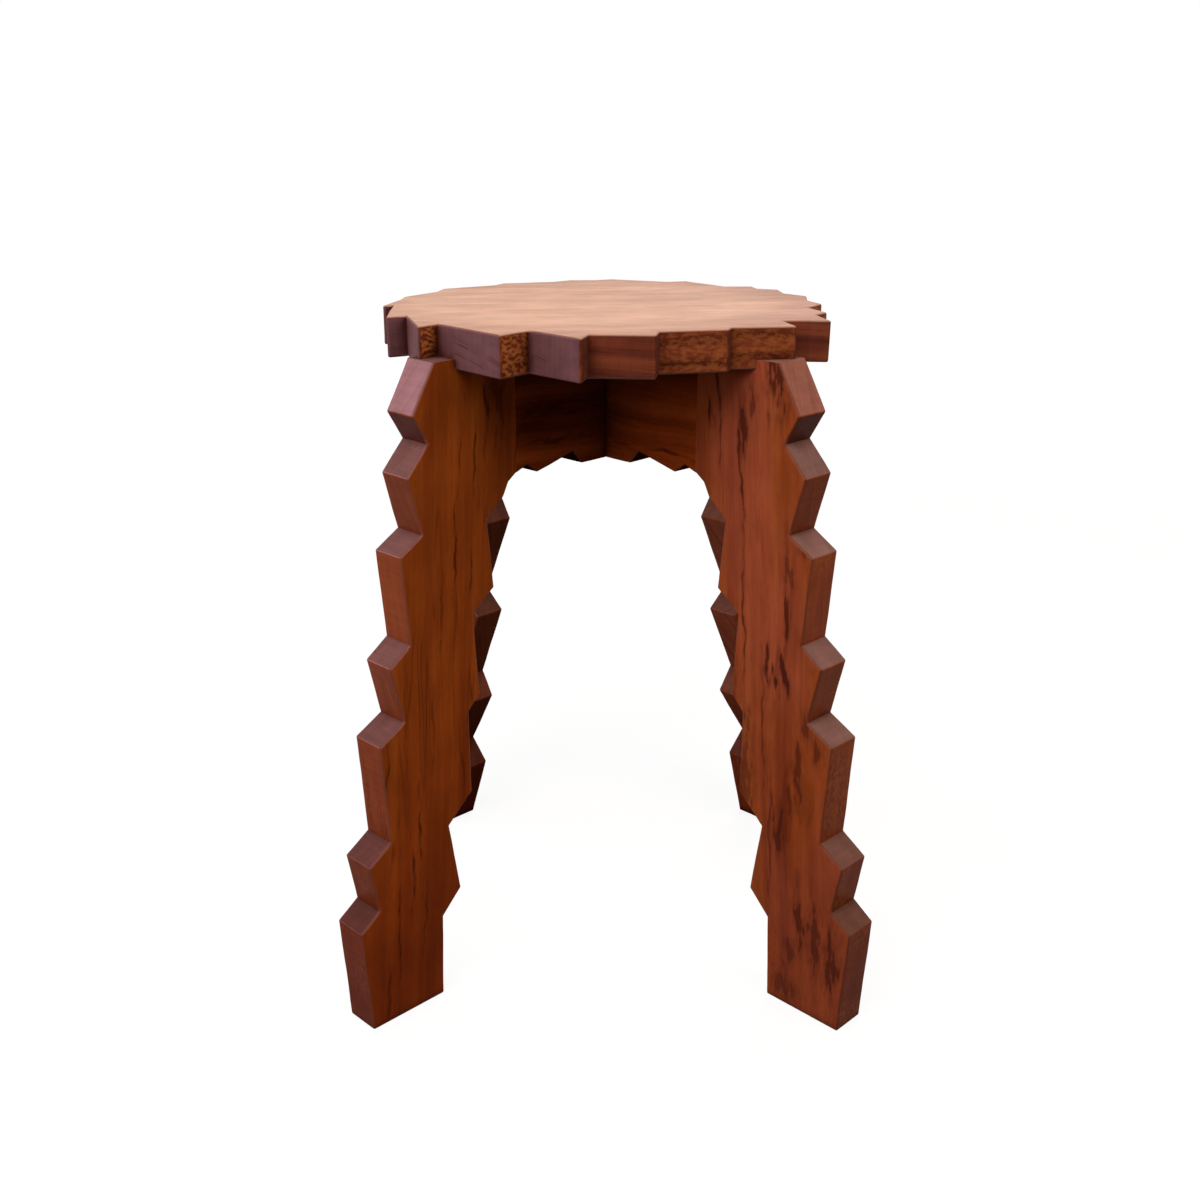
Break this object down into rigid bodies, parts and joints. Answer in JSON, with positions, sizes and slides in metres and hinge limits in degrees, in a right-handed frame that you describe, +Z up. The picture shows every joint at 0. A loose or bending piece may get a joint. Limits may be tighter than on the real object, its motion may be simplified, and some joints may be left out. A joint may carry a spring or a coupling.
{
  "type": "zigzag stool",
  "caption": "Low wooden stool: a saw-toothed round seat housed on crossed plank frames with splayed zigzag legs and notched rails.",
  "frame": {"origin": "on the floor under the point where the two frames cross, which is the centre of the stool's box", "axes": "+Z up; -Y is the front, as the picture sees it; the seat's grain runs along X; the frames stand at 45 degrees to X and Y"},
  "size_m": [0.3464, 0.3463, 0.45],
  "materials": {
    "seat_wood": "oiled, satin",
    "leg_wood": "oiled, satin",
    "rail_wood": "oiled, satin",
    "dowel_wood": "bare"
  },
  "bodies": {
    "root": {"seat": "seat_wood", "lower_cross_rail": "rail_wood", "upper_cross_rail": "rail_wood", "leg_front_left": "leg_wood", "leg_front_right": "leg_wood", "leg_back_left": "leg_wood", "leg_back_right": "leg_wood", "rail_dowels_front_left": "dowel_wood", "rail_dowels_front_right": "dowel_wood", "rail_dowels_back_left": "dowel_wood", "rail_dowels_back_right": "dowel_wood", "seat_dowels_front_left": "dowel_wood", "seat_dowels_front_right": "dowel_wood", "seat_dowels_back_left": "dowel_wood", "seat_dowels_back_right": "dowel_wood"}
  },
  "joints": []
}
